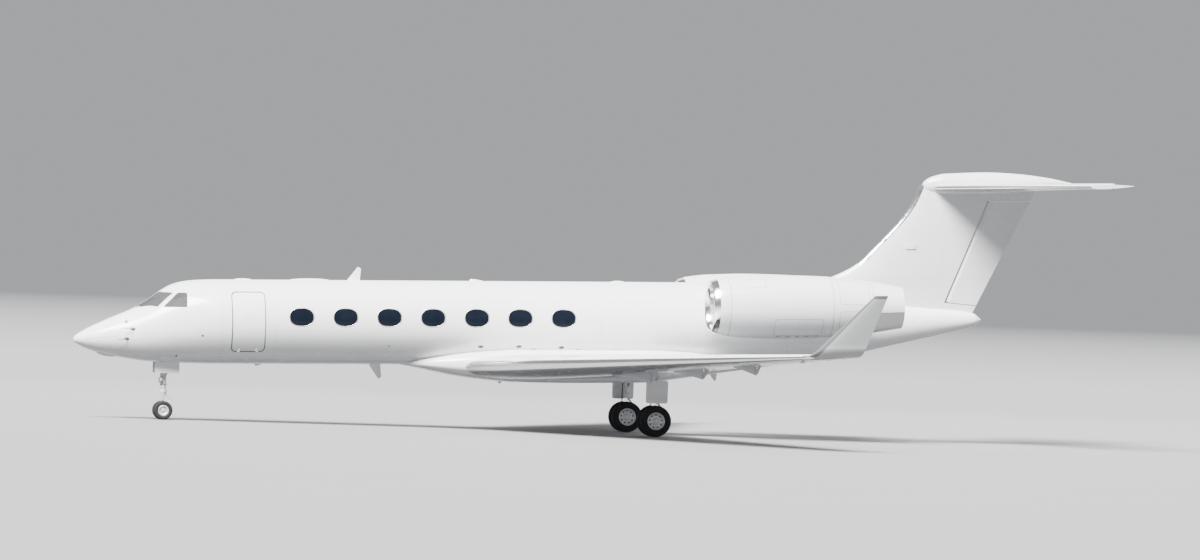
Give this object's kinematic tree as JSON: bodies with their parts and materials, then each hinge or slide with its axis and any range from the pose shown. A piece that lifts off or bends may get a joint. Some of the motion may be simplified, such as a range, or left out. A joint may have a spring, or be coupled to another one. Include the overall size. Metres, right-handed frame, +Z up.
{
  "type": "large-cabin business jet",
  "caption": "Low-wing business jet with rear engines, T-tail, winglets, oval cabin windows, airstair door and moving flight controls, parked on its wheels.",
  "frame": {"origin": "middle of the overall box on the ground", "axes": "-X towards the nose, +Y to the aircraft's right side, +Z up"},
  "size_m": [29.2533, 28.5022, 7.8659],
  "materials": {
    "white_skin": "gloss white paint on aluminium skin",
    "white_alloy": "gloss white paint on aluminium skin",
    "white_composite": "gloss white paint on composite",
    "gear_steel": "light grey enamel on forged steel",
    "wheel_alloy": "satin forged wheel halves",
    "windscreen_glass": "laminated, grey",
    "cabin_glass": "dark tinted panes",
    "engine_block": "dark heat-stained metal",
    "fan_titanium": "satin titanium blades",
    "seat_leather": "soft brown upholstery",
    "tyre": "matt black",
    "floor_board": "matt panels",
    "panel_plastic": "matt black"
  },
  "bodies": {
    "airframe": {"aft_fuselage": "white_skin", "antenna_bottom": "white_composite", "antenna_top": "white_composite", "belly_fairing": "white_composite", "cabin_floor": "floor_board", "cabin_fuselage": "white_skin", "cabin_windows_left": "cabin_glass", "cabin_windows_right": "cabin_glass", "cockpit_fuselage": "white_skin", "cockpit_side_window_left": "windscreen_glass", "cockpit_side_window_right": "windscreen_glass", "engine_left": "engine_block", "engine_right": "engine_block", "fin": "white_alloy", "instrument_panel": "panel_plastic", "main_gear_door_left": "white_composite", "main_gear_door_right": "white_composite", "main_gear_strut_left": "gear_steel", "main_gear_strut_right": "gear_steel", "nacelle_left": "white_composite", "nacelle_right": "white_composite", "nose_gear_door_left": "white_composite", "nose_gear_door_right": "white_composite", "nose_gear_strut": "gear_steel", "nose_radome": "white_composite", "pilot_seat_left": "seat_leather", "pilot_seat_right": "seat_leather", "pylon_left": "white_composite", "pylon_right": "white_composite", "tail_cone": "white_alloy", "tailplane": "white_alloy", "windscreen_left": "windscreen_glass", "windscreen_right": "windscreen_glass", "wing_left": "white_alloy", "wing_right": "white_alloy", "winglet_left": "white_composite", "winglet_right": "white_composite"},
    "airstair_door": {"airstair_door": "white_skin"},
    "rudder": {"rudder": "white_composite"},
    "nose_steering": {"nose_gear_fork": "gear_steel"},
    "nose_wheels": {"nose_wheels": "wheel_alloy", "nose_tyre_left": "tyre", "nose_tyre_right": "tyre"},
    "elevator_left": {"elevator_left": "white_composite"},
    "aileron_left": {"aileron_left": "white_composite"},
    "flap_left": {"flap_left": "white_composite"},
    "spoiler_left": {"spoiler_left": "white_composite"},
    "fan_left": {"fan_left": "fan_titanium"},
    "main_wheels_left": {"main_wheels_left": "wheel_alloy", "main_tyre_left_outer": "tyre", "main_tyre_left_inner": "tyre"},
    "elevator_right": {"elevator_right": "white_composite"},
    "aileron_right": {"aileron_right": "white_composite"},
    "flap_right": {"flap_right": "white_composite"},
    "spoiler_right": {"spoiler_right": "white_composite"},
    "fan_right": {"fan_right": "fan_titanium"},
    "main_wheels_right": {"main_wheels_right": "wheel_alloy", "main_tyre_right_outer": "tyre", "main_tyre_right_inner": "tyre"}
  },
  "joints": [
    {"name": "door_swing", "type": "hinge", "parent": "airframe", "child": "airstair_door", "pos_m": [-9.7779, -0.88382, 2.00783], "axis": [0.9996, 0, 0.0279], "range_deg": [0, 135]},
    {"name": "rudder_turn", "type": "hinge", "parent": "airframe", "child": "rudder", "pos_m": [11.21641, 0, 5.54913], "axis": [0.3677, 0, 0.9299], "range_deg": [-22, 22]},
    {"name": "elevator_left_turn", "type": "hinge", "parent": "airframe", "child": "elevator_left", "pos_m": [13.30346, -2.795, 7.50607], "axis": [-0.355, 0.9348, -0.0091], "range_deg": [-24, 13]},
    {"name": "aileron_left_turn", "type": "hinge", "parent": "airframe", "child": "aileron_left", "pos_m": [4.02986, -11.4, 2.44038], "axis": [-0.3123, 0.9481, -0.0604], "range_deg": [-11, 11]},
    {"name": "flap_left_drop", "type": "hinge", "parent": "airframe", "child": "flap_left", "pos_m": [2.271, -6.125, 1.78342], "axis": [-0.3119, 0.9475, -0.0707], "range_deg": [0, 39]},
    {"name": "spoiler_left_lift", "type": "hinge", "parent": "airframe", "child": "spoiler_left", "pos_m": [1.67997, -6.2, 2.28558], "axis": [0.3576, -0.9329, 0.0415], "range_deg": [0, 55]},
    {"name": "fan_left_spin", "type": "hinge", "parent": "airframe", "child": "fan_left", "pos_m": [4.28852, -2.42, 3.765], "axis": [0.9996, 0, 0.0279], "continuous": true},
    {"name": "elevator_right_turn", "type": "hinge", "parent": "airframe", "child": "elevator_right", "pos_m": [13.30346, 2.795, 7.50607], "axis": [0.355, 0.9348, 0.0091], "range_deg": [-24, 13]},
    {"name": "aileron_right_turn", "type": "hinge", "parent": "airframe", "child": "aileron_right", "pos_m": [4.02986, 11.4, 2.44038], "axis": [0.3123, 0.9481, 0.0604], "range_deg": [-11, 11]},
    {"name": "flap_right_drop", "type": "hinge", "parent": "airframe", "child": "flap_right", "pos_m": [2.271, 6.125, 1.78342], "axis": [0.3119, 0.9475, 0.0707], "range_deg": [0, 39]},
    {"name": "spoiler_right_lift", "type": "hinge", "parent": "airframe", "child": "spoiler_right", "pos_m": [1.67997, 6.2, 2.28558], "axis": [-0.3576, -0.9329, -0.0415], "range_deg": [0, 55]},
    {"name": "fan_right_spin", "type": "hinge", "parent": "airframe", "child": "fan_right", "pos_m": [4.28852, 2.42, 3.765], "axis": [0.9996, 0, 0.0279], "continuous": true},
    {"name": "nose_steer", "type": "hinge", "parent": "airframe", "child": "nose_steering", "pos_m": [-12.02679, 0, 0.86], "axis": [0, 0, 1], "range_deg": [-80, 80]},
    {"name": "nose_wheels_roll", "type": "hinge", "parent": "nose_steering", "child": "nose_wheels", "pos_m": [-12.02679, 0, 0.2665], "axis": [0, 1, 0], "continuous": true},
    {"name": "main_wheels_left_roll", "type": "hinge", "parent": "airframe", "child": "main_wheels_left", "pos_m": [1.69321, -2.185, 0.4445], "axis": [0, 1, 0], "continuous": true},
    {"name": "main_wheels_right_roll", "type": "hinge", "parent": "airframe", "child": "main_wheels_right", "pos_m": [1.69321, 2.185, 0.4445], "axis": [0, 1, 0], "continuous": true}
  ],
  "couplings": [
    {"joint": "elevator_right_turn", "follows": "elevator_left_turn", "ratio": 1},
    {"joint": "aileron_right_turn", "follows": "aileron_left_turn", "ratio": -1},
    {"joint": "flap_right_drop", "follows": "flap_left_drop", "ratio": 1},
    {"joint": "spoiler_right_lift", "follows": "spoiler_left_lift", "ratio": 1}
  ]
}
